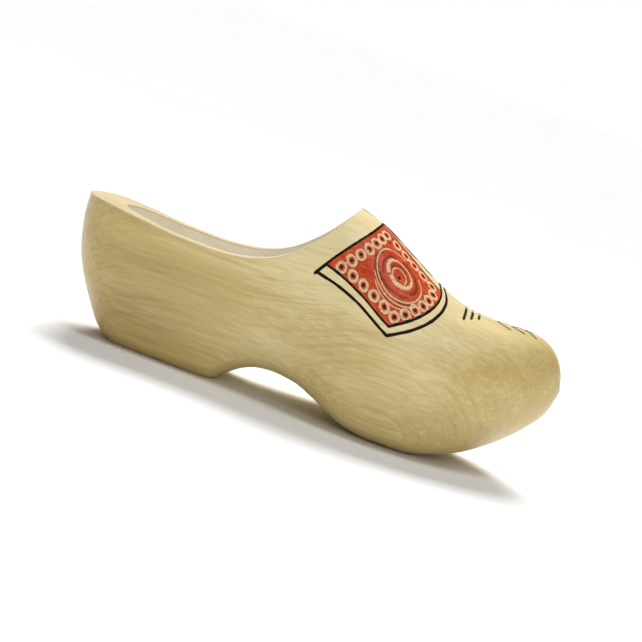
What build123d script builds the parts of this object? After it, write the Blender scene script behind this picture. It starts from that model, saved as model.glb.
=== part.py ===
from build123d import *
import math
import os

# A painted wooden clog. Units are millimetres, +X runs to the toe and +Z is up.
# Each table is read by the distance from the back of the heel.

# ---- the carved block ----
LENGTH = 300.0
OUTER = {
    "half_width": [
        (0, 1.5), (2, 11.5), (5, 18.5), (10, 25), (20, 31.5), (35, 34.8), (60, 36.2), (105, 38.3),
        (130, 42), (155, 47.5), (180, 52.5), (205, 54.8), (228, 52.5), (247, 46.5), (262, 39),
        (275, 30), (286, 21), (294, 13), (298, 7), (300, 1.5),
    ],
    "bottom": [
        (0, 75.5), (1, 63), (3, 53.6), (7, 40.6), (12, 30.5), (20, 18.2), (30, 5.4), (36, 0.6),
        (45, -2.6), (98, -2.6), (104, -1.6), (112, 4.8), (120, 10.8), (128, 14.2), (138, 15.4),
        (150, 14.6), (164, 10.2), (176, 4.6), (188, 0.4), (204, -1.8), (222, -2), (240, 1.4),
        (255, 7), (270, 16), (280, 24.2), (290, 34.8), (297, 45.5), (300, 58),
    ],
    "top": [
        (0, 78.5), (1, 88), (4, 98), (11, 108.5), (22, 117), (40, 124), (95, 129.5), (125, 127.5),
        (145, 124.3), (157, 121.9), (170, 117.6), (190, 107.5), (210, 97), (226, 90), (240, 86.9),
        (256, 86.5), (270, 87), (279, 86), (286, 83), (292, 77.8), (297, 70), (300, 60),
    ],
    "widest": [
        (0, 77), (5, 70), (12, 63), (25, 54), (45, 46), (80, 41), (130, 40), (170, 37), (200, 35),
        (230, 36.5), (255, 42), (275, 49.5), (290, 55.5), (300, 59),
    ],
    "roundness_above": [(0, 2), (40, 2.2), (100, 2.2), (150, 2), (180, 2), (240, 2.2), (300, 2)],
    "roundness_below": [(0, 2), (20, 2.3), (45, 3.2), (95, 3.4), (120, 2.8), (150, 2.8),
                        (185, 3.2), (215, 3.2), (250, 2.8), (280, 2.3), (300, 2)],
}
OUTER_STATIONS = [
    0, 0.6, 1.6, 3.2, 5.5, 8.5, 12.5, 18, 24, 30, 36, 43, 51, 60, 69, 78, 86, 93, 99, 104, 110,
    117, 126, 136, 145, 154, 162, 170, 178, 186, 193, 200, 207, 214, 220, 226, 231, 236, 241, 246,
    251, 256, 261, 266, 271, 276, 281, 286, 290, 294, 297, 299, 300,
]

# ---- the hollow for the foot ----
HOLLOW = {
    "half_width": [
        (23, 2), (25, 8), (29, 13.5), (36, 18.5), (48, 22.8), (65, 25), (90, 26.5), (115, 28.5),
        (140, 32.5), (165, 38), (190, 42.5), (210, 43), (228, 40), (245, 33), (258, 25), (268, 16),
        (275, 8), (278, 2),
    ],
    "bottom": [
        (23, 62), (26, 48), (32, 39), (42, 34.5), (60, 32.5), (85, 33), (110, 34.5), (135, 34),
        (160, 29), (185, 22.5), (205, 19.5), (225, 19.5), (245, 23), (260, 29), (270, 37),
        (276, 46), (278, 52),
    ],
    "top": [
        (23, 112), (30, 117), (60, 121), (100, 121), (130, 119), (150, 114.6), (165, 110),
        (190, 98.5), (210, 88), (230, 79), (250, 75), (262, 71), (271, 66), (276, 60), (278, 56),
    ],
    "widest": [(23, 85), (60, 60), (100, 55), (150, 50), (200, 45), (250, 48), (278, 54)],
    "roundness_above": [(23, 2), (50, 2.6), (120, 2.6), (160, 2.1), (278, 2)],
    "roundness_below": [(23, 2), (50, 2.6), (200, 2.8), (278, 2)],
}
HOLLOW_STATIONS = [
    23, 23.7, 25, 27, 30, 34, 40, 48, 58, 70, 84, 98, 112, 126, 140, 152, 164, 176, 188, 200, 212,
    224, 236, 246, 255, 262, 268, 273, 276, 277.5, 278,
]

CENTRE = [(0, 0), (60, 0), (130, 0.5), (190, -1.5), (230, 0.5), (270, 5), (300, 9)]
RIM = [(-6, 78), (12, 78), (30, 76.8), (62, 74.1), (80, 73.8), (95, 74.9), (106, 77.2),
       (116, 80.9), (124, 85.9), (132, 92.9), (140, 101.6), (147, 111), (154, 122), (163, 139)]
SECTION_POINTS = 28
CLEAR = 200.0

# ---- the painted layers; a place is (distance from the heel, degrees off the ridge) ----
FILM = 0.25
PAINT_GAP = 0.06
LINE = 1.9
FINE_LINE = 1.3
SAMPLE_STEP = 3.0
MM_PER_DEGREE = 1.1
PROBE = 0.5
INSTEP_LINE = [(142.4, 61), (148.4, 52.5), (156.4, 41), (164.3, 26), (169, 0)]
INNER_SIDE = [(149, 54.3), (162.3, 56), (178.3, 58.5), (192.8, 62)]
INNER_FRONT = [(192.8, 62), (202.7, 53), (210.7, 40.5), (214.7, 20), (211.5, 0)]
OUTER_SIDE = [(145.8, 58.8), (162.3, 60), (176.8, 62), (193.3, 66.5)]
OUTER_FRONT = [(193.3, 66.5), (204.7, 58), (214.7, 44), (218.8, 18), (215, 0)]
RIDGE_BORDER = [(171, 3.5), (185, 6), (199, 9.5), (211.8, 12.6)]
PANEL_SIDES = [
    [(169, 3), (164.3, 26), (156.4, 41), (147, 54)],
    [(147, 54), (162.3, 56), (178.3, 58.5), (192.8, 62)],
    [(192.8, 62), (202.7, 53), (210.7, 40.5), (214.7, 20), (213.5, 13)],
    [(213.5, 13), (199, 9.5), (185, 6), (169, 3)],
]
RING_OUTSIDE = 3.7
RING_INSIDE = 1.9
DOT = 1.0
DOT_GAP = 0.1
RING_ROWS = [
    (7, [(155.9, 52), (163.3, 41.5), (169.3, 29), (173.3, 14.5)]),
    (5, [(163.8, 52.5), (178.3, 54), (193.8, 56.5)]),
    (5, [(199.3, 51.5), (207.2, 39), (210.2, 25)]),
    (5, [(208, 18), (194.8, 15.5), (181, 14)]),
]
SWIRL_CENTRE = (188.8, 35.5)
PANEL_DIRECTION = (1, 0, -0.5)
# A loop is half length, half width, shift along, shift to the ridge and line width.
SCRATCHED_LOOPS = [(5.3, 5, -0.3, 1.1, 0.9), (9.2, 7.8, -0.5, 3, 2), (14.6, 12.9, 0, 1, 1)]
# The brush strokes lie along one loop: first degree, last degree.
STROKE_LOOP = (12, 10.4, -0.3, 1.9, 1.4)
STROKE_TURNS = [(20, 100), (150, 220), (240, 330)]
LEAVES = [177, 190, 202]
LEAF_LENGTH = 9.0
LEAF_WIDTH = 2.4
LEAF_LEVEL = 105.0
OUTLINE_STEPS = 12
NOSE_STROKES = [(231.4, 3, 25.5), (235.7, 3, 19.5), (239.9, 3, 14)]
CHEVRONS = [(251, 260, 13), (260, 268.5, 14), (268, 276, 15)]
STAND_OFF = 40.0
FILM_STATIONS = [138, 147, 157, 167, 178, 189, 200, 211, 222, 234]
FILM_DEGREES = [-72, -60, -48, -36, -24, -12, 0, 12, 24, 36, 48, 60, 72]


def level(table, u):
    """Value at u of a smooth curve through the rows that never overshoots them."""
    xs = [row[0] for row in table]
    ys = [row[1] for row in table]
    steps = [b - a for a, b in zip(xs, xs[1:])]
    slopes = [(b - a) / h for a, b, h in zip(ys, ys[1:], steps)]
    tangents = [slopes[0]]
    for before, after, h0, h1 in zip(slopes, slopes[1:], steps, steps[1:]):
        if before * after <= 0:
            tangents.append(0.0)
            continue
        w0 = 2 * h1 + h0
        w1 = h1 + 2 * h0
        tangents.append((w0 + w1) / (w0 / before + w1 / after))
    tangents.append(slopes[-1])
    i = 0
    while i < len(steps) - 1 and u > xs[i + 1]:
        i += 1
    t = (u - xs[i]) / steps[i]
    value = ys[i] * (1 + 2 * t) * (1 - t) ** 2
    value += ys[i + 1] * t * t * (3 - 2 * t)
    value += steps[i] * tangents[i] * t * (1 - t) ** 2
    value += steps[i] * tangents[i + 1] * t * t * (t - 1)
    return value


def place(shape, u, degrees, grow=0.0):
    """A point of a rounded section: 0 degrees is the ridge, negative the right side."""
    across = math.sin(math.radians(degrees))
    up = math.cos(math.radians(degrees))
    middle = level(shape["widest"], u)
    if up >= 0:
        power = 2 / level(shape["roundness_above"], u)
        z = middle + (level(shape["top"], u) + grow - middle) * up ** power
    else:
        power = 2 / level(shape["roundness_below"], u)
        z = middle - (middle - level(shape["bottom"], u) + grow) * (-up) ** power
    reach = (level(shape["half_width"], u) + grow) * abs(across) ** power
    return Vector(u - LENGTH / 2, level(CENTRE, u) + math.copysign(reach, across), z)


def rounded_solid(shape, stations, grow=0.0):
    """Solid through closed sections, with its seam along the bottom."""
    step = 360 / SECTION_POINTS
    rings = []
    for u in stations:
        points = [place(shape, u, 180 + i * step, grow) for i in range(SECTION_POINTS)]
        rings.append(Wire([Edge.make_spline(points, periodic=True)]))
    return Solid.make_loft(rings)


def above_rim():
    """Everything above the cut that opens the shoe."""
    points = [Vector(u - LENGTH / 2, 0, z) for u, z in RIM]
    rim = Edge.make_spline(points)
    high_front = Vector(points[-1].X, 0, CLEAR)
    high_back = Vector(points[0].X, 0, CLEAR)
    sides = [
        Edge.make_line(points[-1], high_front),
        Edge.make_line(high_front, high_back),
        Edge.make_line(high_back, points[0]),
    ]
    face = Face(Wire([rim] + sides))
    return extrude(face, amount=CLEAR / 2, dir=(0, 1, 0), both=True)


def clog_body():
    block = rounded_solid(OUTER, OUTER_STATIONS)
    hollow = rounded_solid(HOLLOW, HOLLOW_STATIONS)
    floor = Pos(0, 0, -CLEAR / 2) * Box(2 * CLEAR, CLEAR, CLEAR)
    return block - hollow - above_rim() - floor


def on_side(side, places):
    """The same places on the right side (-1) or the left side (+1)."""
    return [(u, side * degrees) for u, degrees in places]


def skin(spot):
    """A point just clear of the wood, where a painted layer starts."""
    return place(OUTER, spot[0], spot[1], PAINT_GAP)


def outward(spot):
    """Direction pointing straight out of the wood at a place."""
    u, degrees = spot
    along = skin((u + PROBE, degrees)) - skin((u - PROBE, degrees))
    around = skin((u, degrees + PROBE)) - skin((u, degrees - PROBE))
    return along.cross(around).normalized()


def spread(places, count):
    """Places at equal steps along a smooth row."""
    row = Edge.make_spline([Vector(u, degrees * MM_PER_DEGREE, 0) for u, degrees in places])
    points = [row @ (i / (count - 1)) for i in range(count)]
    return [(p.X, p.Y / MM_PER_DEGREE) for p in points]


def ribbon(runs, width):
    """One painted line: a thin strip along the skin, with mitred corners between its runs."""
    spots = []
    for run in runs:
        length = Edge.make_spline([skin(spot) for spot in run]).length
        spots += spread(run, max(3, round(length / SAMPLE_STEP)))[1 if spots else 0:]
    points = [skin(spot) for spot in spots]
    steps = [b - a for a, b in zip(points, points[1:])]
    rings = []
    for spot, point, back, ahead in zip(spots, points, steps[:1] + steps, steps + steps[-1:]):
        out = outward(spot)
        side = out.cross(back).normalized()
        mitre = (side + out.cross(ahead).normalized()).normalized()
        aside = mitre * (width / 2 / mitre.dot(side))
        lift = out * FILM
        corners = [point - aside, point + aside, point + aside + lift, point - aside + lift]
        rings.append(Wire.make_polygon(corners))
    return Solid.make_loft(rings, ruled=True)


def across_ridge(*runs):
    """Runs drawn on the right side from the back, then mirrored over the ridge."""
    right = [on_side(-1, run) for run in runs]
    left = [on_side(1, run)[::-1] for run in runs[::-1]]
    return right + left


def blot(spot, radius):
    """Round dot of paint."""
    disc = Circle(radius)
    return Plane(origin=skin(spot), z_dir=outward(spot)) * extrude(disc, amount=FILM)


def panel_plane(side):
    """Plane that touches the skin at the middle of one swirl, with its X along the clog."""
    spot = (SWIRL_CENTRE[0], side * SWIRL_CENTRE[1])
    return Plane(origin=skin(spot), x_dir=PANEL_DIRECTION, z_dir=outward(spot))


def flat(plane, spot):
    point = plane.to_local_coords(skin(spot))
    return Vector(point.X, point.Y, 0)


def panel_outline(plane, side):
    """The red ground, kept clear of the middle of its border lines."""
    edges = []
    for run in PANEL_SIDES:
        edges.append(Edge.make_spline([flat(plane, spot) for spot in on_side(side, run)]))
    ground = offset(Sketch() + Face(Wire(edges)), amount=-LINE / 2, kind=Kind.INTERSECTION)
    redrawn = []
    for edge in ground.edges():
        points = [edge @ (i / OUTLINE_STEPS) for i in range(OUTLINE_STEPS + 1)]
        redrawn.append(Edge.make_spline(points))
    return make_face(redrawn)


def round_mark(plane, spot, radius):
    """A circle on the skin as it looks from straight above the panel plane."""
    lean = plane.to_local_coords(plane.origin + outward(spot))
    turn = math.degrees(math.atan2(lean.Y, lean.X))
    return Pos(flat(plane, spot)) * Rot(0, 0, turn) * Ellipse(radius * lean.Z, radius)


def ring_spots(side):
    spots = []
    for count, row in RING_ROWS:
        spots += on_side(side, spread(row, count))
    return spots


def ring_dots(side):
    spots = ring_spots(side) + on_side(side, [SWIRL_CENTRE])
    return Compound(children=[blot(spot, DOT) for spot in spots])


def loop(side, shape):
    half_length, half_width, along, inward, width = shape
    outer = Ellipse(half_length + width / 2, half_width + width / 2)
    inner = Ellipse(half_length - width / 2, half_width - width / 2)
    return Pos(along, -side * inward, 0) * (outer - inner)


def strokes(side):
    """Three brush strokes: parts of one loop, cut out by wedges."""
    centre = Vector(STROKE_LOOP[2], -side * STROKE_LOOP[3], 0)
    wedges = []
    for first, last in STROKE_TURNS:
        corners = [centre]
        for turn in (first, (first + last) / 2, last):
            angle = math.radians(-side * turn)
            corners.append(centre + Vector(math.cos(angle), math.sin(angle), 0) * STAND_OFF)
        wedges.append(make_face(Polyline(*corners, close=True)))
    return loop(side, STROKE_LOOP) & (Sketch() + wedges)


def red_ground(plane, side):
    """Red ground with its scraped rings and loops left open down to the wood."""
    cuts = [Circle(DOT + DOT_GAP)] + [loop(side, shape) for shape in SCRATCHED_LOOPS]
    for spot in ring_spots(side):
        cuts.append(round_mark(plane, spot, RING_OUTSIDE) - round_mark(plane, spot, RING_INSIDE))
        cuts.append(round_mark(plane, spot, DOT + DOT_GAP))
    return panel_outline(plane, side) - cuts - strokes(side)


def painted(film, plane, sketch):
    """The film under a flat drawing, looking straight down on the panel plane."""
    solids = []
    for face in sketch.faces():
        solids += (film & (plane * extrude(face, amount=STAND_OFF, both=True))).solids()
    return Compound(children=solids)


def leaves():
    """Slim lenses painted along the ridge, pointed at both ends."""
    half = LEAF_LENGTH / 2
    lower = ThreePointArc((-half, 0), (0, -LEAF_WIDTH / 2), (half, 0))
    upper = ThreePointArc((half, 0), (0, LEAF_WIDTH / 2), (-half, 0))
    leaf = make_face(lower + upper)
    return Sketch() + [Pos(u - LENGTH / 2, level(CENTRE, u), 0) * leaf for u in LEAVES]


def nose_strokes(side):
    pieces = []
    for u, first, last in NOSE_STROKES:
        run = [(u, first), (u, (first + last) / 2), (u, last)]
        pieces.append(ribbon([on_side(side, run)], LINE))
    return Compound(children=pieces)


def toe_chevrons():
    pieces = []
    for back, front, degrees in CHEVRONS:
        arm = [(front, degrees), ((back + front) / 2, degrees / 2), (back, 0)]
        pieces.append(ribbon(across_ridge(arm), FINE_LINE))
    return Compound(children=pieces)


def painted_film():
    """Thin skin over the front of the block, from which the flat drawings are cut."""
    rings = []
    for u in FILM_STATIONS:
        inner = [skin((u, degrees)) for degrees in FILM_DEGREES]
        outer = [place(OUTER, u, degrees, PAINT_GAP + FILM) for degrees in FILM_DEGREES]
        edges = [
            Edge.make_spline(inner),
            Edge.make_line(inner[-1], outer[-1]),
            Edge.make_spline(outer[::-1]),
            Edge.make_line(outer[0], inner[0]),
        ]
        rings.append(Wire(edges))
    return Solid.make_loft(rings)


def main():
    os.makedirs("parts", exist_ok=True)
    film = painted_film()
    parts = {
        "clog_body": clog_body(),
        "instep_line": ribbon(across_ridge(INSTEP_LINE), LINE),
        "frame_line_outer": ribbon(across_ridge(OUTER_SIDE, OUTER_FRONT), LINE),
        "frame_line_inner": ribbon(across_ridge(INNER_SIDE, INNER_FRONT), LINE),
        "ridge_leaves": painted(film, Plane.XY.offset(LEAF_LEVEL), leaves()),
        "toe_chevrons": toe_chevrons(),
    }
    for side, name in ((-1, "right"), (1, "left")):
        plane = panel_plane(side)
        parts["ridge_border_" + name] = ribbon([on_side(side, RIDGE_BORDER)], FINE_LINE)
        parts["red_panel_" + name] = painted(film, plane, red_ground(plane, side))
        parts["ring_dots_" + name] = ring_dots(side)
        parts["swirl_strokes_" + name] = painted(film, plane, strokes(side))
        parts["nose_strokes_" + name] = nose_strokes(side)
    for name, part in parts.items():
        export_step(part, "parts/" + name + ".step")


main()
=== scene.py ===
import math

import bmesh
import bpy
import numpy as np
from mathutils import Matrix, Vector
from mathutils.geometry import delaunay_2d_cdt


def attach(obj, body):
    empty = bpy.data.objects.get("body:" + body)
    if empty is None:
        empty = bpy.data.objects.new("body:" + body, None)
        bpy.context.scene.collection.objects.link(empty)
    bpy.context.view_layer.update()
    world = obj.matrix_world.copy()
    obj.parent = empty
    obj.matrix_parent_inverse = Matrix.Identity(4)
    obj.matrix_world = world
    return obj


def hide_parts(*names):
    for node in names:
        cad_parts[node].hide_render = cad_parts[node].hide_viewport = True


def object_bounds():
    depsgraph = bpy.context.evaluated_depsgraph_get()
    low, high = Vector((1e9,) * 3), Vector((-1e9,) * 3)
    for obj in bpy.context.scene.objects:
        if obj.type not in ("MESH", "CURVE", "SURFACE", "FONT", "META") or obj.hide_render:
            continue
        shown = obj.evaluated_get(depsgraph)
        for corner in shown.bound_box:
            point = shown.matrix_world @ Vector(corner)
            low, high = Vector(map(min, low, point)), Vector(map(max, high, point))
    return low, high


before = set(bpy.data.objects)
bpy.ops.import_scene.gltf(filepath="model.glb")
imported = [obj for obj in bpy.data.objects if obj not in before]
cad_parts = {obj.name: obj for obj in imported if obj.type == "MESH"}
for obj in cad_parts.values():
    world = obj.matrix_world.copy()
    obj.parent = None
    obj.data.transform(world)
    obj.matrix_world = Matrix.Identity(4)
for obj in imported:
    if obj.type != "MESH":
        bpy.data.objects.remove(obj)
CAD_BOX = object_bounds()

# Sizes are in millimetres until a mesh is made. A place on the clog is its distance from the back
# of the heel and its angle off the ridge, negative on the right side.
MM = 0.001
LENGTH = (CAD_BOX[1].x - CAD_BOX[0].x) / MM

# ------------------------------------------------------------------ shape of the carved block

OUTER = {
    "half_width": [
        (0, 1.5), (2, 11.5), (5, 18.5), (10, 25), (20, 31.5), (35, 34.8), (60, 36.2), (105, 38.3),
        (130, 42), (155, 47.5), (180, 52.5), (205, 54.8), (228, 52.5), (247, 46.5), (262, 39),
        (275, 30), (286, 21), (294, 13), (298, 7), (300, 1.5),
    ],
    "bottom": [
        (0, 75.5), (1, 63), (3, 53.6), (7, 40.6), (12, 30.5), (20, 18.2), (30, 5.4), (36, 0.6),
        (45, -2.6), (98, -2.6), (104, -1.6), (112, 4.8), (120, 10.8), (128, 14.2), (138, 15.4),
        (150, 14.6), (164, 10.2), (176, 4.6), (188, 0.4), (204, -1.8), (222, -2), (240, 1.4),
        (255, 7), (270, 16), (280, 24.2), (290, 34.8), (297, 45.5), (300, 58),
    ],
    "top": [
        (0, 78.5), (1, 88), (4, 98), (11, 108.5), (22, 117), (40, 124), (95, 129.5), (125, 127.5),
        (145, 124.3), (157, 121.9), (170, 117.6), (190, 107.5), (210, 97), (226, 90), (240, 86.9),
        (256, 86.5), (270, 87), (279, 86), (286, 83), (292, 77.8), (297, 70), (300, 60),
    ],
    "widest": [
        (0, 77), (5, 70), (12, 63), (25, 54), (45, 46), (80, 41), (130, 40), (170, 37), (200, 35),
        (230, 36.5), (255, 42), (275, 49.5), (290, 55.5), (300, 59),
    ],
    "roundness_above": [(0, 2), (40, 2.2), (100, 2.2), (150, 2), (180, 2), (240, 2.2), (300, 2)],
    "roundness_below": [(0, 2), (20, 2.3), (45, 3.2), (95, 3.4), (120, 2.8), (150, 2.8),
                        (185, 3.2), (215, 3.2), (250, 2.8), (280, 2.3), (300, 2)],
}
HOLLOW = {
    "half_width": [
        (23, 2), (25, 8), (29, 13.5), (36, 18.5), (48, 22.8), (65, 25), (90, 26.5), (115, 28.5),
        (140, 32.5), (165, 38), (190, 42.5), (210, 43), (228, 40), (245, 33), (258, 25), (268, 16),
        (275, 8), (278, 2),
    ],
    "bottom": [
        (23, 62), (26, 48), (32, 39), (42, 34.5), (60, 32.5), (85, 33), (110, 34.5), (135, 34),
        (160, 29), (185, 22.5), (205, 19.5), (225, 19.5), (245, 23), (260, 29), (270, 37),
        (276, 46), (278, 52),
    ],
    "top": [
        (23, 112), (30, 117), (60, 121), (100, 121), (130, 119), (150, 114.6), (165, 110),
        (190, 98.5), (210, 88), (230, 79), (250, 75), (262, 71), (271, 66), (276, 60), (278, 56),
    ],
    "widest": [(23, 85), (60, 60), (100, 55), (150, 50), (200, 45), (250, 48), (278, 54)],
    "roundness_above": [(23, 2), (50, 2.6), (120, 2.6), (160, 2.1), (278, 2)],
    "roundness_below": [(23, 2), (50, 2.6), (200, 2.8), (278, 2)],
}
CENTRE = [(0, 0), (60, 0), (130, 0.5), (190, -1.5), (230, 0.5), (270, 5), (300, 9)]
RIM = [(-6, 78), (12, 78), (30, 76.8), (62, 74.1), (80, 73.8), (95, 74.9), (106, 77.2),
       (116, 80.9), (124, 85.9), (132, 92.9), (140, 101.6), (147, 111), (154, 122), (163, 139)]
RIM_ROUND = 0.8
OPEN_ROWS = 150
OUTER_COLUMNS = 132
HOLLOW_COLUMNS = 84
LIP_COLUMNS = 7
ROUND_STEPS = 3
CLOSED_STEP = 1.3
# Length of the finely divided stretch before each closed end, and its number of rows.
NOSE_ROWS = (10, 20)
HOLLOW_END_ROWS = (6, 12)
RELIEF_DEPTH = 0.07
FINE_RELIEF_DEPTH = 0.06
GOUGE_DEPTH = 0.25
CHIPPING = 0.35
SIDE_STEP = 0.5
# The stretch in which the front of the opening lies, and how often it is halved to find it.
FRONT_SEARCH = (130.0, 160.0)
SEARCH_STEPS = 40


def level(table, u):
    """Values at u of a smooth curve through the rows that never overshoots them."""
    xs, ys = np.array(table, float).T
    steps = np.diff(xs)
    slopes = np.diff(ys) / steps
    w0 = 2 * steps[1:] + steps[:-1]
    w1 = steps[1:] + 2 * steps[:-1]
    same_sign = slopes[:-1] * slopes[1:] > 0
    safe = np.where(same_sign[:, None], np.stack([slopes[:-1], slopes[1:]], 1), 1.0)
    inner = np.where(same_sign, (w0 + w1) / (w0 / safe[:, 0] + w1 / safe[:, 1]), 0.0)
    tangents = np.concatenate([slopes[:1], inner, slopes[-1:]])
    u = np.asarray(u, float)
    i = np.clip(np.searchsorted(xs, u) - 1, 0, len(steps) - 1)
    t = (u - xs[i]) / steps[i]
    value = ys[i] * (1 + 2 * t) * (1 - t) ** 2 + ys[i + 1] * t * t * (3 - 2 * t)
    return value + steps[i] * t * (1 - t) * (tangents[i] * (1 - t) - tangents[i + 1] * t)


def place(shape, u, degrees, grow=0.0):
    """Points of rounded sections, in millimetres in the row frame."""
    across = np.sin(np.radians(degrees))
    up = np.cos(np.radians(degrees))
    middle = level(shape["widest"], u)
    above = 2 / level(shape["roundness_above"], u)
    below = 2 / level(shape["roundness_below"], u)
    power = np.where(up >= 0, above, below)
    reach = np.where(up >= 0, level(shape["top"], u) + grow - middle,
                     middle - level(shape["bottom"], u) + grow)
    z = middle + np.sign(up) * reach * np.abs(up) ** power
    half = level(shape["half_width"], u) + grow
    y = level(CENTRE, u) + np.sign(across) * half * np.abs(across) ** power
    return np.stack([np.asarray(u, float) - LENGTH / 2 + 0 * y, y, z], -1)


def relief(u, degrees):
    """Slight unevenness that the carving knife and the sanding leave."""
    waves = np.sin(u / 13.0 + 1.7 * np.sin(degrees / 31.0))
    waves = waves + np.sin(degrees / 11.0 + 1.3 * np.sin(u / 29.0))
    return RELIEF_DEPTH * waves + FINE_RELIEF_DEPTH * np.sin(u / 5.3 + degrees / 17.0)


def skin(u, degrees, lift=0.0):
    """Points of the outer surface, or at a small height over it."""
    u = np.asarray(u, float)
    degrees = np.asarray(degrees, float)
    spot = place(OUTER, u, degrees, relief(u, degrees))
    return spot + outward(u, degrees) * np.asarray(lift)[..., None]


def slopes(u, degrees):
    """How the outer surface moves for 1 mm along the clog and for 1 degree round it."""
    along = place(OUTER, u + SIDE_STEP, degrees) - place(OUTER, u - SIDE_STEP, degrees)
    around = place(OUTER, u, degrees + SIDE_STEP) - place(OUTER, u, degrees - SIDE_STEP)
    return along, around


def outward(u, degrees):
    """Unit vectors straight out of the outer surface."""
    along, around = slopes(u, degrees)
    out = np.cross(along, around)
    return out / np.linalg.norm(out, axis=-1, keepdims=True)


def rim_angle(shape, u):
    """Angle off the ridge at which a section meets the cut of the opening."""
    middle = level(shape["widest"], u)
    rise = level(RIM, u) - middle
    above = np.clip(rise / (level(shape["top"], u) - middle), 0, 1)
    below = np.clip(-rise / (middle - level(shape["bottom"], u)), 0, 1)
    up = np.where(rise >= 0, above ** (level(shape["roundness_above"], u) / 2),
                  -below ** (level(shape["roundness_below"], u) / 2))
    return np.degrees(np.arccos(up))


def front_of_opening(shape):
    """Distance from the heel at which the section's top meets the cut."""
    low, high = FRONT_SEARCH
    for _ in range(SEARCH_STEPS):
        middle = (low + high) / 2
        if level(RIM, middle) < level(shape["top"], middle):
            low = middle
        else:
            high = middle
    return low


# ------------------------------------------------------------------ mesh helpers

def grid_faces(index, closed=False):
    """Quads over a table of vertex numbers."""
    faces = []
    rows, columns = index.shape
    for i in range(rows - 1):
        for j in range(columns if closed else columns - 1):
            k = (j + 1) % columns
            faces.append((index[i, j], index[i, k], index[i + 1, k], index[i + 1, j]))
    return faces


def make_object(name, points, faces, material):
    """Smooth object from points in millimetres."""
    mesh = bpy.data.meshes.new(name)
    mesh.from_pydata((np.asarray(points) * MM).tolist(), [], [list(map(int, f)) for f in faces])
    mesh.materials.append(material)
    mesh.update()
    mesh.shade_smooth()
    piece = bpy.data.objects.new(name, mesh)
    bpy.context.scene.collection.objects.link(piece)
    return piece


def clean(piece, distance=0.002):
    """Joins points that coincide and turns every face outward."""
    work = bmesh.new()
    work.from_mesh(piece.data)
    bmesh.ops.remove_doubles(work, verts=work.verts, dist=distance * MM)
    bmesh.ops.recalc_face_normals(work, faces=work.faces)
    work.to_mesh(piece.data)
    work.free()


def closed_tube(rings):
    """Points and faces of a tube through a table of rings, with both ends filled."""
    index = np.arange(rings.shape[0] * rings.shape[1]).reshape(rings.shape[:2])
    faces = grid_faces(index, closed=True)
    faces.append(tuple(index[0][::-1]))
    faces.append(tuple(index[-1]))
    return rings.reshape(-1, 3), faces


def finish_piece(piece, slot_name, *nodes):
    """Ties a piece to the body and hides the CAD nodes that it stands for. The slot name is not used.
    """
    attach(piece, "root")
    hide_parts(*nodes)


# ------------------------------------------------------------------ the carved body

def cosine_steps(low, high, count):
    """Steps from low to high that are closer together at both ends."""
    turn = np.linspace(0, math.pi, count)
    return low + (high - low) * (1 - np.cos(turn)) / 2


def rounding(start, corner, end):
    """Points that round off a corner, without the two ends."""
    points = []
    for step in range(1, ROUND_STEPS + 1):
        t = step / (ROUND_STEPS + 1)
        points.append((1 - t) ** 2 * start + 2 * t * (1 - t) * corner + t * t * end)
    return points


def wall_columns(shape, us, count, start):
    """Rows of a wall from the right edge of the cut round the bottom to the left edge.

    Past the opening the two edges lie on the ridge. The unevenness differs between them by up to
    about 0.3 mm, so a fine seam stays open there, outside and in the hollow.
    """
    share = np.linspace(0, 1, count)[None, :]
    first = start[:, None]
    degrees = -(first + (360 - 2 * first) * share)
    u = us[:, None] + 0 * degrees
    if shape is OUTER:
        points = skin(u, degrees)
    else:
        across = np.sin(u / 3.1 + 2 * np.sin(degrees / 9.0))
        marks = GOUGE_DEPTH * across * np.sin(degrees / 6.3 + u / 17.0)
        points = place(shape, u, degrees, marks)
    points[..., 2] = np.maximum(points[..., 2], 0.0)
    return points


def edge_offset(shape, us, start, size):
    """Angles a small way down the wall from the cut."""
    near = place(shape, us, start)
    far = place(shape, us, start + SIDE_STEP)
    per_step = np.maximum(np.linalg.norm(far - near, axis=-1), 0.02)
    return start + SIDE_STEP * size / per_step


def rounded_lip(outer_edge, outer_side, inner_side, inner_edge):
    """Columns across the cut: round edge, flat cut, round edge."""
    across = inner_side - outer_side
    width = np.linalg.norm(across, axis=-1, keepdims=True)
    across = across / width
    size = np.minimum(RIM_ROUND, width / 3)
    outer_flat = outer_side + across * size
    inner_flat = inner_side - across * size
    columns = rounding(outer_edge, outer_side, outer_flat)
    for t in np.linspace(0, 1, LIP_COLUMNS):
        columns.append(outer_flat + (inner_flat - outer_flat) * t)
    columns += rounding(inner_flat, inner_side, inner_edge)
    return np.stack(columns, 1)


def cut_points(shape, us, angles, side):
    """Where one side of a wall meets the cut of the opening."""
    points = place(shape, us, side * angles)
    points[:, 2] = level(RIM, us)
    return points


def opening_rows(shape):
    """Rows along the opening, and the angle at which each one meets the cut."""
    us = cosine_steps(shape["top"][0][0], front_of_opening(shape), OPEN_ROWS)
    angles = rim_angle(shape, us)
    angles[-1] = 0
    return us, angles


def closed_rows(shape, front, fine_length, fine_count):
    """Rows from the front of the opening to the closed end."""
    end = shape["top"][-1][0]
    steps = np.arange(front, end - fine_length, CLOSED_STEP)
    fine_steps = cosine_steps(end - fine_length, end + fine_length, 2 * fine_count)[:fine_count]
    return np.concatenate([steps[1:], fine_steps, [end]])


def whole_wall(shape, us, angles, edge, end_rows, columns):
    """Wall from the back to the closed end, a small way down from the cut where it is open."""
    start = np.minimum(edge_offset(shape, us, angles, edge), 179)
    start[-1] = 0
    rest = closed_rows(shape, us[-1], *end_rows)
    return wall_columns(shape, np.append(us, rest), columns, np.append(start, 0 * rest))


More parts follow.
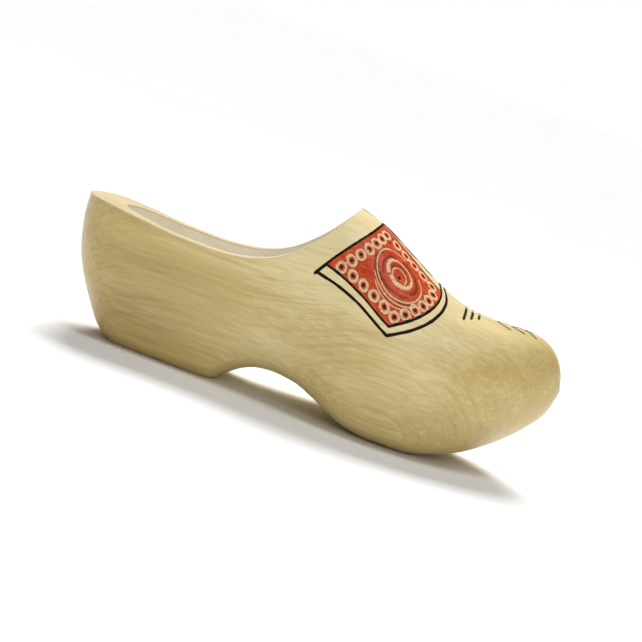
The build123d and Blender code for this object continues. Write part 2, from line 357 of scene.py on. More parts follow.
def body_tables():
    """Tables of points: outer wall, hollow, and the right and left edges of the cut."""
    outer_us, outer_angles = opening_rows(OUTER)
    inner_us, inner_angles = opening_rows(HOLLOW)
    chips = RIM_ROUND * (1 + CHIPPING * np.sin(outer_us / 2.3) * np.sin(outer_us / 7.1))
    outer = whole_wall(OUTER, outer_us, outer_angles, chips, NOSE_ROWS, OUTER_COLUMNS)
    inner = whole_wall(HOLLOW, inner_us, inner_angles, RIM_ROUND, HOLLOW_END_ROWS, HOLLOW_COLUMNS)
    lips = []
    for side, column in ((-1, 0), (1, -1)):
        lips.append(rounded_lip(
            outer[:OPEN_ROWS, column],
            cut_points(OUTER, outer_us, outer_angles, side),
            cut_points(HOLLOW, inner_us, inner_angles, side),
            inner[:OPEN_ROWS, column],
        ))
    return outer, inner, lips[0], lips[1]


def ladder(row):
    """Closes the end of a wall by joining its two halves across."""
    half = len(row) // 2
    return np.stack([row[:half], row[::-1][:half]])


def clog_piece(*materials):
    """One mesh with three materials: outer surface, cut edge and hollow."""
    outer_slot, cut_slot, hollow_slot = range(3)
    points = []
    tables = []
    for block in body_tables():
        size = block.shape[0] * block.shape[1]
        tables.append(np.arange(size).reshape(block.shape[:2]) + len(points))
        points.extend(block.reshape(-1, 3))
    outer, inner, right, left = tables
    right = np.column_stack([outer[:OPEN_ROWS, 0], right, inner[:OPEN_ROWS, 0]])
    left = np.column_stack([outer[:OPEN_ROWS, -1], left, inner[:OPEN_ROWS, -1]])
    strips = (
        (outer, outer_slot), (inner, hollow_slot), (right, cut_slot), (left, cut_slot),
        (ladder(outer[0]), outer_slot), (ladder(outer[-1]), outer_slot),
        (ladder(inner[0]), hollow_slot), (ladder(inner[-1]), hollow_slot),
        (np.stack([right[0], left[0]]), cut_slot),
    )
    faces = []
    slots = []
    for table, slot in strips:
        new = grid_faces(table)
        faces += new
        slots += [slot] * len(new)
    piece = make_object("clog", np.array(points), faces, materials[0])
    for material in materials[1:]:
        piece.data.materials.append(material)
    piece.data.polygons.foreach_set("material_index", slots)
    clean(piece)
    return piece


# ------------------------------------------------------------------ painted layers

BLACK_LINE = 1.85
FINE_LINE = 1.35
INSTEP_LINE_WIDTH = 2.035
LEAF_LINE_WIDTH = 1.0
CHEVRON_LINE_WIDTH = 1.25
NOSE_STROKE_WIDTH = 1.7
PAINT_RISE = 0.14
PAINT_SUNK = 0.1
STROKE_STEP = 0.5
STROKE_COLUMNS = 9
DOT_CORNERS = 28
RING_CORNERS = 44
# Each stroke or drop has a seed of its own, counted up from these.
LINE_SEED = 20
LEAF_SEED = 60
CHEVRON_SEED = 90
BORDER_SEED = 120
NOSE_SEED = 130
DOT_SEED = 500
PANEL_SEEDS = {-1: 100, 1: 400}
# The flat map of the paint: millimetres round the clog for 1 degree, and how much longer its
# sloping top is than its length.
MM_PER_DEGREE = 1.1
SLOPE_STRETCH = 1.13
INSTEP_LINE = [(142.4, 61), (148.4, 52.5), (156.4, 41), (164.3, 26), (169, 0)]
INNER_SIDE = [(147.4, 54.3), (163, 56.1), (178.3, 58.8), (193.5, 62.2)]
INNER_FRONT = [(192.2, 62.5), (202.7, 53), (210.7, 40.5), (214.7, 20), (211.5, 0)]
OUTER_SIDE = [(143.0, 59.4), (160.0, 60.3), (176.6, 62.6), (194, 66.8)]
OUTER_FRONT = [(192.7, 67), (204.7, 58), (214.7, 44), (218.8, 18), (215, 0)]
RIDGE_BORDER = [(169.5, 3.2), (185, 6), (199, 9.5), (213.3, 13)]
PANEL_SIDES = [
    [(169, 3), (164.3, 26), (156.4, 41), (147, 54)],
    [(147, 54), (162.3, 56), (178.3, 58.5), (192.8, 62)],
    [(192.8, 62), (202.7, 53), (210.7, 40.5), (214.7, 20), (213.5, 13)],
    [(213.5, 13), (199, 9.5), (185, 6), (169, 3)],
]
RING_ROWS = [
    (7, [(155.9, 52), (163.3, 41.5), (169.3, 29), (173.3, 14.5)]),
    (5, [(163.8, 52.5), (178.3, 54), (193.8, 56.5)]),
    (5, [(199.3, 51.5), (207.2, 39), (210.2, 25)]),
    (5, [(208, 18), (194.8, 15.5), (181, 14)]),
]
RING_OUTSIDE = 3.8
RING_INSIDE = 2.0
DOT = 1.05
SWIRL_CENTRE = (188.8, 35.5)
# Strokes of the swirl, each on part of an ellipse round the swirl's middle, in millimetres along the
# clog and up to the ridge: width, the ellipse's middle, its half sizes, first and last degree. The
# degrees run from the toe's direction towards the ridge.
SCRATCHES = [
    (1.0, (-0.3, 1.1), (5.3, 5.0), -28, -410),
    ((2.6, 2.9, 3.0, 2.4, 1.6, 1.2, 1.3, 1.9, 3.0, 2.8), (-0.5, 3), (9.2, 7.8), -139, 233),
    (1.1, (-0.5, 1.6), (17.2, 15.4), 88, 405),
    (1.0, (0, 0.5), (19.5, 16.5), 211, 329),
    (0.9, (0, 0.5), (20, 19), 222, 298),
    (0.6, (0, 0), (18.5, 18), 154, 130),
    (0.8, (0, 1), (25, 17), 188, 160),
]
BRUSH_MARKS = [
    (2.3, (0, 0), (18.3, 15), 146, 225),
    (1.6, (-1.5, 0), (14.5, 11), 217, 320),
    (2.0, (0, 2.5), (12.8, 11), 98, -40),
    (1.6, (-1, 1), (12, 11.5), 215, 112),
    (1.7, (0, 0), (17, 15), 283, 330),
    (1.2, (0, 1.8), (6.8, 6.3), 180, 60),
    (1.5, (0, 0), (24, 24), 131, 121),
]
DEGREES_PER_PLACE = 14
LEAVES = [177, 190, 202]
LEAF_LENGTH = 9.0
LEAF_BULGE = 1.6
NOSE_STROKES = [(231.4, 3, 25.5), (235.7, 3, 19.5), (239.9, 3, 14)]
CHEVRONS = [(251, 260, 13), (260, 268.5, 14), (268, 276, 15)]


def smooth_line(places, step):
    """Points at even steps along a smooth curve through the places."""
    knots = np.array(places, float)
    lengths = np.linalg.norm(np.diff(knots, axis=0), axis=1)
    at = np.concatenate([[0], np.cumsum(lengths)])
    count = max(6, int(round(at[-1] / step)))
    t = np.linspace(0, at[-1], count + 1)
    return np.stack([natural_curve(at, knots[:, k], t) for k in range(knots.shape[1])], 1)


def natural_curve(xs, ys, x):
    """Natural cubic curve through the points."""
    count = len(xs)
    if count == 2:
        return np.interp(x, xs, ys)
    h = np.diff(xs)
    matrix = np.eye(count)
    right = np.zeros(count)
    for i in range(1, count - 1):
        matrix[i, i - 1:i + 2] = h[i - 1], 2 * (h[i - 1] + h[i]), h[i]
        right[i] = 6 * ((ys[i + 1] - ys[i]) / h[i] - (ys[i] - ys[i - 1]) / h[i - 1])
    bend = np.linalg.solve(matrix, right)
    i = np.clip(np.searchsorted(xs, x) - 1, 0, count - 2)
    a = xs[i + 1] - x
    b = x - xs[i]
    d = h[i]
    curve = (bend[i] * a ** 3 + bend[i + 1] * b ** 3) / (6 * d)
    return curve + (ys[i] / d - bend[i] * d / 6) * a + (ys[i + 1] / d - bend[i + 1] * d / 6) * b


def flat_from_spots(spots):
    """Places on the clog as points of a flat map, in millimetres."""
    spots = np.asarray(spots, float)
    return np.stack([spots[:, 0] * SLOPE_STRETCH, spots[:, 1] * MM_PER_DEGREE], 1)


def spots_from_flat(points):
    """Points of the flat map as places on the clog."""
    points = np.asarray(points, float)
    return np.stack([points[:, 0] / SLOPE_STRETCH, points[:, 1] / MM_PER_DEGREE], 1)


def shifted(spots, along, around):
    """Places moved by millimetres along and round the clog, true to the slope there."""
    step_u, step_d = slopes(spots[:, 0], spots[:, 1])
    du = along / np.linalg.norm(step_u, axis=1)
    dd = around / np.linalg.norm(step_d, axis=1)
    return np.stack([spots[:, 0] + du, spots[:, 1] + dd], 1)


def wobble(count, size, seed, smoothness=3):
    """Small uneven steps that follow on from each other."""
    chance = np.random.default_rng(seed)
    steps = chance.normal(0, 1, count + 2 * smoothness)
    window = np.hanning(2 * smoothness + 1)
    steps = np.convolve(steps, window / np.sqrt((window ** 2).sum()), mode="valid")
    return size * steps[:count]


def brush_width(length, count, widths, seed):
    """Half widths along a stroke: round start, a little uneven, round end."""
    at = np.linspace(0, length, count)
    widths = np.atleast_1d(widths)
    width = np.interp(at / length, np.linspace(0, 1, len(widths)), widths)
    near_end = np.clip(np.minimum(at, length - at) / (width / 2), 0, 1)
    tip = np.sqrt(near_end * (2 - near_end))
    return width / 2 * np.maximum(tip, 0.05) * (1 + wobble(count, 0.05, seed, 5))


def stroke_mesh(run, width, seed):
    """Painted line: domed strip that follows the wood."""
    spots = smooth_line(run, STROKE_STEP)
    count = len(spots)
    centre = skin(spots[:, 0], spots[:, 1])
    length = np.linalg.norm(np.diff(centre, axis=0), axis=1).sum()
    half = brush_width(length, count, width, seed)
    drift = wobble(count, 0.05, seed + 1, 12)
    step_u = slopes(spots[:, 0], spots[:, 1])[0]
    unit_u = step_u / np.linalg.norm(step_u, axis=1, keepdims=True)
    out = outward(spots[:, 0], spots[:, 1])
    unit_d = np.cross(out, unit_u)
    ahead = np.gradient(centre, axis=0)
    ahead = ahead / np.linalg.norm(ahead, axis=1, keepdims=True)
    aside = np.cross(out, ahead)
    section = [(share, PAINT_RISE * (0.15 + 0.85 * math.sqrt(1 - share * share)))
               for share in np.linspace(-1, 1, STROKE_COLUMNS)]
    columns = []
    for share, height in section + [(1, -PAINT_SUNK), (-1, -PAINT_SUNK)]:
        edge = aside * (half * share + drift)[:, None]
        moved = shifted(spots, (edge * unit_u).sum(1), (edge * unit_d).sum(1))
        columns.append(skin(moved[:, 0], moved[:, 1], height + 0 * half))
    return closed_tube(np.stack(columns, 1))


# Half of a drop's section: share of its radius, and share of its height.
DROP_SECTION = ((1, -0.1), (1, 0.05), (0.85, 0.6), (0.55, 0.9), (0.2, 1.0))


def dot_mesh(spot, radius, seed, base):
    """Round drop of paint, a little out of true."""
    turn = np.linspace(0, 2 * math.pi, DOT_CORNERS, endpoint=False)
    chance = np.random.default_rng(seed)
    shape = radius * (1 + 0.1 * np.sin(2 * turn + chance.uniform(0, 6))
                      + 0.05 * np.sin(3 * turn + chance.uniform(0, 6)))
    rings = []
    for share, height in DROP_SECTION:
        centre = np.repeat([spot], len(turn), axis=0)
        moved = shifted(centre, shape * share * np.cos(turn), shape * share * np.sin(turn))
        rings.append(skin(moved[:, 0], moved[:, 1], base + PAINT_RISE * height + 0 * turn))
    return closed_tube(np.stack(rings))


def painted_piece(name, meshes, material):
    """Strokes or drops joined into the piece that stands for the CAD node of the same name."""
    points = []
    faces = []
    for new_points, new_faces in meshes:
        faces += [tuple(k + len(points) for k in face) for face in new_faces]
        points.extend(new_points)
    piece = make_object(name, np.array(points), faces, material)
    clean(piece, 0.0005)
    finish_piece(piece, "black_paint", name)


def on_side(side, places):
    """Places on the right side for -1, on the left for 1."""
    return [(u, side * degrees) for u, degrees in places]


def both_sides(*runs):
    """The same runs on the right side and then on the left."""
    return [on_side(side, run) for side in (-1, 1) for run in runs]


def mirrored(places):
    """A run drawn on the right side up to the ridge, carried on down the left side."""
    return on_side(-1, places) + on_side(1, places)[::-1][1:]


# ------------------------------------------------------------------ the red panels

PANEL_STEP = 1.1
SWIRL_STEP = 0.45
SCRATCH_ROUGHNESS = 0.17
BRUSH_ROUGHNESS = 0.04
FILM_RISE = 0.12
SCRAPED_RISE = 0.03
STROKE_RISE = 0.16
FILM_THICKNESS = 0.17
STROKE_THICKNESS = 0.06
SCRAPED_THICKNESS = 0.08


def inside(polygon, points):
    """Which points lie inside a closed outline."""
    x, y = points.T
    result = np.zeros(len(points), bool)
    before = polygon[-1]
    for after in polygon:
        crosses = (before[1] > y) != (after[1] > y)
        slope = (after[0] - before[0]) / (after[1] - before[1] + 1e-12)
        result ^= crosses & (x < before[0] + slope * (y - before[1]))
        before = after
    return result


def band_outline(line, half):
    """Closed outline of a stroke of uneven width round a middle line."""
    ahead = np.gradient(line, axis=0)
    ahead = ahead / np.linalg.norm(ahead, axis=1, keepdims=True)
    aside = np.stack([-ahead[:, 1], ahead[:, 0]], 1)
    return np.concatenate([line + aside * half[:, None], (line - aside * half[:, None])[::-1]])


def ellipse_part(middle, sizes, first, last):
    """Places along part of an ellipse."""
    count = max(4, int(abs(last - first) / DEGREES_PER_PLACE))
    turn = np.radians(np.linspace(first, last, count))
    return np.array(middle) + np.array(sizes) * np.stack([np.cos(turn), np.sin(turn)], 1)


def panel_flat(offsets, side):
    """Swirl offsets to the flat map of one side."""
    middle = flat_from_spots([(SWIRL_CENTRE[0], side * SWIRL_CENTRE[1])])[0]
    offsets = np.asarray(offsets, float)
    return np.stack([middle[0] + offsets[:, 0], middle[1] - side * offsets[:, 1]], 1)


def stroke_outline(side, width, places, seed, roughness):
    """Outline on the flat map of a stroke with rough edges."""
    line = smooth_line(panel_flat(places, side), SWIRL_STEP)
    count = len(line)
    length = np.linalg.norm(np.diff(line, axis=0), axis=1).sum()
    half = brush_width(length, count, width, seed)
    half = half * (1 + wobble(count, roughness, seed + 2, 1))
    return band_outline(line, half)


def stroke_outlines(side, strokes, seed, roughness):
    """Outlines of a list of the swirl's strokes."""
    return [stroke_outline(side, width, ellipse_part(*arc), seed + 5 * k, roughness)
            for k, (width, *arc) in enumerate(strokes)]


def ring_spots(side):
    """Middles of the rings, evenly spaced along each row."""
    spots = []
    for count, row in RING_ROWS:
        line = smooth_line(flat_from_spots(on_side(side, row)), 0.3)
        picks = line[np.linspace(0, len(line) - 1, count).round().astype(int)]
        spots.extend(spots_from_flat(picks).tolist())
    return spots


def ring_outline(spot, radius, seed):
    """Circle on the flat map, a little out of true."""
    turn = np.linspace(0, 2 * math.pi, RING_CORNERS, endpoint=False)
    chance = np.random.default_rng(seed)
    shape = radius * (1 + 0.05 * np.sin(2 * turn + chance.uniform(0, 6))
                      + wobble(RING_CORNERS, 0.035, seed, 1))
    centre = np.repeat([spot], len(turn), axis=0)
    moved = shifted(centre, shape * np.cos(turn), shape * np.sin(turn))
    return flat_from_spots(moved)


def panel_outline(side):
    """Outline of the red ground on the flat map."""
    runs = [smooth_line(flat_from_spots(on_side(side, run)), 0.8)[:-1] for run in PANEL_SIDES]
    return np.concatenate(runs)


def triangulated(outline, loops):
    """Flat triangles over the panel, with their edges along every loop."""
    low = outline.min(0)
    high = outline.max(0)
    columns = np.arange(low[0], high[0], PANEL_STEP)
    rows = np.arange(low[1], high[1], PANEL_STEP)
    fill = np.stack(np.meshgrid(columns, rows), -1).reshape(-1, 2)
    points = []
    edges = []
    for loop in [outline] + loops:
        first = len(points)
        points.extend(loop.tolist())
        edges += [(first + k, first + (k + 1) % len(loop)) for k in range(len(loop))]
    points.extend(fill[inside(outline, fill)].tolist())
    result = delaunay_2d_cdt([Vector(p) for p in points], edges, [], 0, 1e-5)
    flat = np.array([tuple(p) for p in result[0]])
    triangles = np.array(result[2])
    kept = inside(outline, flat[triangles].mean(1))
    return flat, triangles[kept]


def film_piece(name, side, flat, triangles, material, rise, thickness):
    """Thin film on the wood over some of the panel's triangles."""
    spots = spots_from_flat(flat)
    used, renumbered = np.unique(triangles, return_inverse=True)
    points = skin(spots[used, 0], spots[used, 1], rise)
    piece = make_object(name, points, renumbered.reshape(-1, 3), material)
    if side > 0:
        piece.data.flip_normals()
    solid = piece.modifiers.new("paint", "SOLIDIFY")
    solid.thickness = thickness * MM
    solid.offset = -1
    return piece


def panel_pieces(side, name, red, maroon, scraped):
    """Red film with its rings and swirl scraped out of it, and the bared ground below."""
    seed = PANEL_SEEDS[side]
    outline = panel_outline(side)
    rings = [(ring_outline(spot, RING_OUTSIDE, seed + 3 * k),
              ring_outline(spot, RING_INSIDE, seed + 3 * k + 1))
             for k, spot in enumerate(ring_spots(side))]
    scratches = stroke_outlines(side, SCRATCHES, seed + 80, SCRATCH_ROUGHNESS)
    marks = stroke_outlines(side, BRUSH_MARKS, seed + 150, BRUSH_ROUGHNESS)
    loops = [loop for ring in rings for loop in ring] + scratches + marks
    flat, triangles = triangulated(outline, loops)
    middles = flat[triangles].mean(1)
    bared = np.zeros(len(middles), bool)
    for outer_loop, inner_loop in rings:
        bared |= inside(outer_loop, middles) & ~inside(inner_loop, middles)
    for loop in scratches:
        bared |= inside(loop, middles)
    brushed = np.zeros(len(middles), bool)
    for loop in marks:
        brushed |= inside(loop, middles)
    film = film_piece("red_panel_" + name, side, flat, triangles[~bared], red,
                      FILM_RISE, FILM_THICKNESS)
    finish_piece(film, "red_paint", "red_panel_" + name)
    strokes = film_piece("swirl_strokes_" + name, side, flat, triangles[~bared & brushed], maroon,
                         STROKE_RISE, STROKE_THICKNESS)
    finish_piece(strokes, "maroon_paint", "swirl_strokes_" + name)
    ground = film_piece("scraped_ground_" + name, side, flat, triangles[bared], scraped,
                        SCRAPED_RISE, SCRAPED_THICKNESS)
    finish_piece(ground, "wood")


# ------------------------------------------------------------------ materials

# Wood colours: where it is pale, in between, and where it is dark.
VARNISHED = ((0.80, 0.675, 0.36), (0.58, 0.435, 0.158), (0.40, 0.27, 0.078))
CUT_EDGE = ((0.72, 0.61, 0.39), (0.65, 0.53, 0.315), (0.50, 0.385, 0.19))
BARE_INSIDE = ((0.87, 0.83, 0.71), (0.81, 0.75, 0.62), (0.70, 0.62, 0.47))
WOOD_STOPS = (0.30, 0.54, 0.80)
RING_STOPS = ((0.0, (0.1,) * 3), (0.70, (0.2,) * 3), (0.90, (1.0,) * 3), (1.0, (0.1,) * 3))
SCRAPED_STOPS = ((0.42, (0.82, 0.68, 0.40)), (0.54, (0.74, 0.52, 0.27)), (0.64, (0.48, 0.11, 0.04)))
FLOOR_STOPS = ((0.3, (0.92,) * 3), (0.7, (0.94,) * 3))
# Paint colours: where it is thick and where it is thin.
RED = ((0.47, 0.040, 0.014), (0.68, 0.105, 0.030))
MAROON = ((0.18, 0.030, 0.018), (0.38, 0.052, 0.024))
BLACK = ((0.008, 0.006, 0.003), (0.02, 0.015, 0.010))
THIN_BLACK = ((0.012, 0.010, 0.007), (0.05, 0.04, 0.025))
PAINT_STOPS = (0.40, 0.62)
ENAMEL_ROUGHNESS = 0.34


def new_material(name):
    """A material, its node tree and its shader."""
    material = bpy.data.materials.new(name)
    material.use_nodes = True
    tree = material.node_tree
    return material, tree, tree.nodes["Principled BSDF"]


def add(tree, kind, inputs=(), **settings):
    """A node with its settings made and its inputs set or linked."""
    made = tree.nodes.new(kind)
    for key, value in settings.items():
        setattr(made, key, value)
    for key, value in dict(inputs).items():
        if isinstance(value, bpy.types.NodeSocket):
            tree.links.new(value, made.inputs[key])
        else:
            made.inputs[key].default_value = value
    return made


def math_node(tree, operation, a, b):
    """Sum, product or the like of two numbers."""
    return add(tree, "ShaderNodeMath", {0: a, 1: b}, operation=operation).outputs[0]


def vector_node(tree, operation, a, b):
    """Sum, product or the like of two vectors."""
    return add(tree, "ShaderNodeVectorMath", {0: a, 1: b}, operation=operation).outputs[0]


def map_range(tree, value, ends, results, **settings):
    """The value moved from one range to another, and held at its ends."""
    inputs = {0: value, 1: ends[0], 2: ends[1], 3: results[0], 4: results[1]}
    return add(tree, "ShaderNodeMapRange", inputs, **settings).outputs[0]


def add_bump(tree, shader, strength, distance, height):
    """Fine relief from a height value: the distance is in metres."""
    made = add(tree, "ShaderNodeBump", {"Strength": strength, "Distance": distance, "Height": height})
    tree.links.new(made.outputs[0], shader.inputs["Normal"])


def ramp(tree, value, stops):
    """Colour along a list of stops."""
    made = add(tree, "ShaderNodeValToRGB", {0: value})
    elements = made.color_ramp.elements
    while len(elements) < len(stops):
        elements.new(0.5)
    for element, (position, colour) in zip(elements, stops):
        element.position = position
        element.color = (*colour, 1)
    return made.outputs[0]


def stretched_noise(tree, position, scale, detail=3.0, roughness=0.55):
    """Noise drawn out along the grain: scale gives the features per metre along each axis."""
    place_at = add(tree, "ShaderNodeMapping", {0: position, 3: scale}).outputs[0]
    return add(tree, "ShaderNodeTexNoise",
               {"Vector": place_at, "Scale": 1.0, "Detail": detail, "Roughness": roughness}
               ).outputs[0]


PITH_PLACE = (0.0, 0.11, 0.13)
PITH_LEAN = (0.0, 0.045, 0.03)
RING_SPACING = 0.0027
RING_UNEVENNESS = 1.6
GRAIN_BEND = (0.0, 0.012, 0.012)


def grain(tree, position):
    """Growth rings round the pith, which lies beyond the far side of the clog."""
    bend = add(tree, "ShaderNodeTexNoise", {"Vector": position, "Scale": 9.0, "Detail": 0.5}).outputs[1]
    bend = vector_node(tree, "SUBTRACT", bend, (0.5, 0.5, 0.5))
    bend = vector_node(tree, "MULTIPLY", bend, GRAIN_BEND)
    moved = vector_node(tree, "ADD", position, bend)
    local = add(tree, "ShaderNodeMapping", {0: moved, 1: PITH_PLACE, 2: PITH_LEAN},
                vector_type="TEXTURE").outputs[0]
    flat = vector_node(tree, "MULTIPLY", local, (0.0, 1.0, 1.0))
    radius = add(tree, "ShaderNodeVectorMath", {0: flat}, operation="LENGTH").outputs[1]
    turns = math_node(tree, "DIVIDE", radius, RING_SPACING)
    uneven = add(tree, "ShaderNodeTexNoise", {"W": turns, "Scale": 0.6, "Detail": 1.0},
                 noise_dimensions="1D").outputs[0]
    turns = math_node(tree, "ADD", turns, math_node(tree, "MULTIPLY", uneven, RING_UNEVENNESS))
    return add(tree, "ShaderNodeMath", {0: turns}, operation="FRACT").outputs[0]


# Painted light and shade: axis, where it starts, where it is full, and how much deeper it gets. The
# heel and the toe are darkened as painted shade, and the top is made paler as painted light.
PAINTED_SHADE_AND_LIGHT = ((0, 0.0, -0.13, 0.23), (0, 0.05, 0.14, 0.15), (2, 0.04, 0.095, -0.18))
# How much each part of the figure adds to the depth of colour.
RING_SHARE = 0.10
FIBRE_SHARE = 0.36
CLOUD_SHARE = 0.36
STREAK_SHARE = 0.20


def wood_colour(tree, position, colours):
    """Colour of the wood with painted shade and light, and the fibres that its relief follows."""
    year = grain(tree, position)
    rings = ramp(tree, year, RING_STOPS)
    fibre = stretched_noise(tree, position, (14.0, 520.0, 520.0), 4.0, 0.6)
    cloud = stretched_noise(tree, position, (9.0, 26.0, 34.0), 2.0)
    streak = stretched_noise(tree, position, (5.0, 110.0, 110.0), 3.0)
    fade = stretched_noise(tree, position, (16.0, 30.0, 30.0), 1.0)
    fade = map_range(tree, fade, (0.35, 0.65), (0.15, 1.0))
    rings = math_node(tree, "MULTIPLY", rings, fade)
    total = math_node(tree, "MULTIPLY", rings, RING_SHARE)
    for part, share in ((fibre, FIBRE_SHARE), (cloud, CLOUD_SHARE), (streak, STREAK_SHARE)):
        total = math_node(tree, "ADD", total, math_node(tree, "MULTIPLY", part, share))
    axes = add(tree, "ShaderNodeSeparateXYZ", {0: position})
    # Painted shade darkens the heel and the toe; painted light makes the top paler.
    for axis, start, end, depth in PAINTED_SHADE_AND_LIGHT:
        painted_shading = map_range(tree, axes.outputs[axis], (start, end), (0.0, depth),
                         interpolation_type="SMOOTHSTEP")
        total = math_node(tree, "ADD", total, painted_shading)
    return ramp(tree, total, list(zip(WOOD_STOPS, colours))), fibre


def varnished_wood():
    """Pale wood under a clear satin varnish."""
    material, tree, shader = new_material("varnished_wood")
    position = add(tree, "ShaderNodeTexCoord").outputs["Object"]
    colour, fibre = wood_colour(tree, position, VARNISHED)
    tree.links.new(colour, shader.inputs["Base Color"])
    shader.inputs["Roughness"].default_value = 0.42
    shader.inputs["Coat Weight"].default_value = 0.4
    shader.inputs["Coat Roughness"].default_value = 0.36
    add_bump(tree, shader, 0.12, 0.0003, fibre)
    return material


def bare_wood(name, colours, roughness, relief_depth):
    """Wood with no varnish: the cut edge and the hollow."""
    material, tree, shader = new_material(name)
    position = add(tree, "ShaderNodeTexCoord").outputs["Object"]
    colour, fibre = wood_colour(tree, position, colours)
    tree.links.new(colour, shader.inputs["Base Color"])
    shader.inputs["Roughness"].default_value = roughness
    gouge = stretched_noise(tree, position, (60.0, 260.0, 260.0), 4.0)
    add_bump(tree, shader, 0.5, relief_depth, math_node(tree, "ADD", gouge, fibre))
    return material


def enamel(name, colours, gloss=0.04):
    """Brushed paint that is a little thinner in places."""
    material, tree, shader = new_material(name)
    position = add(tree, "ShaderNodeTexCoord").outputs["Object"]
    patches = stretched_noise(tree, position, (380.0, 380.0, 380.0), 4.0, 0.65)
    streaks = stretched_noise(tree, position, (90.0, 900.0, 900.0), 3.0)
    value = math_node(tree, "MULTIPLY", math_node(tree, "ADD", patches, streaks), 0.5)
    colour = ramp(tree, value, list(zip(PAINT_STOPS, colours)))
    tree.links.new(colour, shader.inputs["Base Color"])
    shader.inputs["Roughness"].default_value = ENAMEL_ROUGHNESS
    shader.inputs["Specular IOR Level"].default_value = gloss
    add_bump(tree, shader, 0.25, 0.00008, value)
    return material


def scraped_wood():
    """Wood bared by the scraper, with specks of red left in its pores."""
    material, tree, shader = new_material("scraped_wood")
    position = add(tree, "ShaderNodeTexCoord").outputs["Object"]
    specks = stretched_noise(tree, position, (1500.0, 1900.0, 1900.0), 4.0, 0.7)
    tree.links.new(ramp(tree, specks, SCRAPED_STOPS), shader.inputs["Base Color"])
    shader.inputs["Roughness"].default_value = 0.5
    add_bump(tree, shader, 0.3, 0.0001, specks)
    return material


def floor_material():
    """Pale matt paper, almost even."""
    material, tree, shader = new_material("floor")
    position = add(tree, "ShaderNodeTexCoord").outputs["Object"]
    noise = stretched_noise(tree, position, (3.0, 3.0, 3.0), 2.0)
    tree.links.new(ramp(tree, noise, FLOOR_STOPS), shader.inputs["Base Color"])
    shader.inputs["Roughness"].default_value = 0.9
    return material


# ------------------------------------------------------------------ stage, light and camera

CAMERA_AZIMUTH = 2.5
CAMERA_ELEVATION = 7.6
CAMERA_ROLL = 19.68
CAMERA_DISTANCE = 1.2
VIEW_WIDTH = 0.3785
SENSOR = 36.0
TARGET_HEIGHT = 0.49
CAMERA_SHIFT = (0.0015, -0.0244)
NEAREST_SEEN = 0.05
FLOOR_SIZE = 60.0


def make_camera():
    """Long lens, almost level with the clog, turned so that the toe points down."""
    azimuth, elevation, roll = map(math.radians, (CAMERA_AZIMUTH, CAMERA_ELEVATION, CAMERA_ROLL))
    back = Vector((math.sin(azimuth) * math.cos(elevation),
                   -math.cos(azimuth) * math.cos(elevation), math.sin(elevation)))
    level_right = Vector((math.cos(azimuth), math.sin(azimuth), 0))
    level_up = back.cross(level_right)
    right = level_right * math.cos(roll) + level_up * math.sin(roll)
    up = level_up * math.cos(roll) - level_right * math.sin(roll)
    low, high = CAD_BOX
    target = Vector(((low.x + high.x) / 2, 0, low.z + (high.z - low.z) * TARGET_HEIGHT))
    camera = bpy.data.cameras.new("camera")
    camera.sensor_width = SENSOR
    camera.lens = SENSOR * CAMERA_DISTANCE / VIEW_WIDTH
    camera.shift_x, camera.shift_y = CAMERA_SHIFT
    camera.clip_start = NEAREST_SEEN
    piece = bpy.data.objects.new("camera", camera)
    turn = Matrix((right, up, back)).transposed().to_4x4()
    piece.matrix_world = Matrix.Translation(target + back * CAMERA_DISTANCE) @ turn
    bpy.context.scene.collection.objects.link(piece)
    bpy.context.scene.camera = piece


def make_floor():
    """Wide pale floor that the clog stands on."""
    bpy.ops.mesh.primitive_plane_add(size=FLOOR_SIZE, location=(0, 0, CAD_BOX[0].z))
    floor = bpy.context.object
    floor.name = "floor"
    floor.data.materials.append(floor_material())


SUN_POWER = 4.1
SUN_DEGREES = 30
SUN_DIRECTION = (0.05, -0.85, -0.97)
# Soft lamps: name, place and size in metres, power in watts.
LAMPS = (("front", (0.25, -0.95, 0.6), 0.7, 2.1), ("top", (0.2, -0.25, 1.0), 0.5, 3.3))
LIGHT_TARGET = (0, 0, 0.05)
# Brightness of the surroundings: in front, behind the clog, and in a band at the horizon.
WORLD_FRONT = 0.11
WORLD_BACK = 0.22
WORLD_HORIZON = 1.0


def area_light(name, place_at, size, power):
    """Round soft light that points at the clog."""
    light = bpy.data.lights.new(name, "AREA")
    light.shape = "DISK"
    light.size = size
    light.energy = power
    piece = bpy.data.objects.new(name, light)
    piece.location = place_at
    piece.rotation_mode = "QUATERNION"
    aim = Vector(LIGHT_TARGET) - Vector(place_at)
    piece.rotation_quaternion = aim.to_track_quat("-Z", "Y")
    bpy.context.scene.collection.objects.link(piece)


def sun_light():
    """Wide sun from behind the clog and above. It makes the soft shadow, and no highlights."""
    sun = bpy.data.lights.new("sun", "SUN")
    sun.energy = SUN_POWER
    sun.angle = math.radians(SUN_DEGREES)
    piece = bpy.data.objects.new("sun", sun)
    piece.rotation_mode = "QUATERNION"
    piece.rotation_quaternion = Vector(SUN_DIRECTION).to_track_quat("-Z", "Y")
    piece.visible_glossy = False
    bpy.context.scene.collection.objects.link(piece)


def make_world():
    """White surroundings, brighter behind the clog and at the horizon."""
    world = bpy.data.worlds.new("studio")
    world.use_nodes = True
    tree = world.node_tree
    background = tree.nodes["Background"]
    background.inputs[0].default_value = (1, 1, 1, 1)
    direction = add(tree, "ShaderNodeTexCoord").outputs["Generated"]
    parts = add(tree, "ShaderNodeSeparateXYZ", {0: direction})
    behind = map_range(tree, parts.outputs[1], (0.0, 0.9), (WORLD_FRONT, WORLD_BACK),
                       interpolation_type="SMOOTHSTEP")
    horizon = map_range(tree, parts.outputs[2], (0.08, 0.2), (WORLD_HORIZON, 0.0),
                        interpolation_type="SMOOTHSTEP")
    tree.links.new(math_node(tree, "MAXIMUM", behind, horizon), background.inputs[1])
    bpy.context.scene.world = world


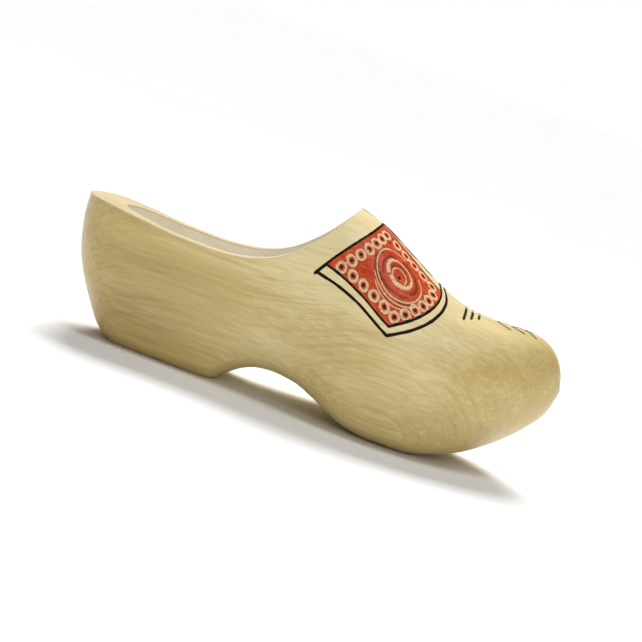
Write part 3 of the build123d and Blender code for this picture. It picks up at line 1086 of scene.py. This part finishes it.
def make_light():
    """Sun, two soft lamps in front and above, and the surroundings."""
    sun_light()
    for lamp in LAMPS:
        area_light(*lamp)
    make_world()
    bpy.context.scene.view_settings.view_transform = "Standard"


# ------------------------------------------------------------------ putting it together

def make_lines(black):
    """The broad lines: across the instep, and the two frames round the panels."""
    lines = (
        ("instep_line", [mirrored(INSTEP_LINE)], INSTEP_LINE_WIDTH),
        ("frame_line_outer", both_sides(OUTER_SIDE, OUTER_FRONT), BLACK_LINE),
        ("frame_line_inner", both_sides(INNER_SIDE, INNER_FRONT), BLACK_LINE),
    )
    for number, (name, paths, width) in enumerate(lines):
        seed = LINE_SEED + 10 * number
        meshes = [stroke_mesh(path, width, seed + k) for k, path in enumerate(paths)]
        painted_piece(name, meshes, black)


def make_leaves(fine):
    """Leaves along the ridge, each of two bowed strokes."""
    half = LEAF_LENGTH / 2
    leaves = []
    for number, u in enumerate(LEAVES):
        for side in (-1, 1):
            run = [(u - half, 0), (u, side * LEAF_BULGE), (u + half, 0)]
            leaves.append(stroke_mesh(run, LEAF_LINE_WIDTH, LEAF_SEED + 3 * number + side))
    painted_piece("ridge_leaves", leaves, fine)


def make_chevrons(fine):
    """Chevrons over the toe, each of two strokes that start on the ridge."""
    chevrons = []
    for number, (back, front, degrees) in enumerate(CHEVRONS):
        for side in (-1, 1):
            run = [(back, 0), ((back + front) / 2, side * degrees / 2), (front, side * degrees)]
            seed = CHEVRON_SEED + 3 * number + side
            chevrons.append(stroke_mesh(run, CHEVRON_LINE_WIDTH, seed))
    painted_piece("toe_chevrons", chevrons, fine)


def make_side_strokes(side, name, fine):
    """The line beside the ridge and the three strokes on the nose, on one side."""
    border = stroke_mesh(on_side(side, RIDGE_BORDER), FINE_LINE, BORDER_SEED + side)
    painted_piece("ridge_border_" + name, [border], fine)
    nose = []
    for number, (u, first, last) in enumerate(NOSE_STROKES):
        run = on_side(side, [(u, first), (u + 0.2, (first + last) / 2), (u, last)])
        nose.append(stroke_mesh(run, NOSE_STROKE_WIDTH, NOSE_SEED + 4 * number + side))
    painted_piece("nose_strokes_" + name, nose, fine)


def make_dots(side, name, black):
    """A drop of paint in each ring and one in the middle of the swirl."""
    spots = ring_spots(side) + [(SWIRL_CENTRE[0], side * SWIRL_CENTRE[1])]
    meshes = [dot_mesh(spot, DOT, DOT_SEED + number, FILM_RISE) for number, spot in enumerate(spots)]
    painted_piece("ring_dots_" + name, meshes, black)


def make_paint():
    """Every painted layer and its material."""
    sides = ((-1, "right"), (1, "left"))
    black = enamel("black_enamel", BLACK)
    fine = enamel("thin_black_enamel", THIN_BLACK)
    red = enamel("red_enamel", RED, gloss=0.12)
    maroon = enamel("maroon_enamel", MAROON, gloss=0.2)
    scraped = scraped_wood()
    make_lines(black)
    make_leaves(fine)
    make_chevrons(fine)
    for side, name in sides:
        make_side_strokes(side, name, fine)
    for side, name in sides:
        panel_pieces(side, name, red, maroon, scraped)
        make_dots(side, name, black)


def main():
    """The clog, its paint, and what it is seen with."""
    cut = bare_wood("cut_wood", CUT_EDGE, 0.6, 0.0002)
    hollow = bare_wood("hollow_wood", BARE_INSIDE, 0.75, 0.0006)
    body = clog_piece(varnished_wood(), cut, hollow)
    finish_piece(body, "wood", "clog_body")
    make_paint()
    make_floor()
    make_light()
    make_camera()


main()
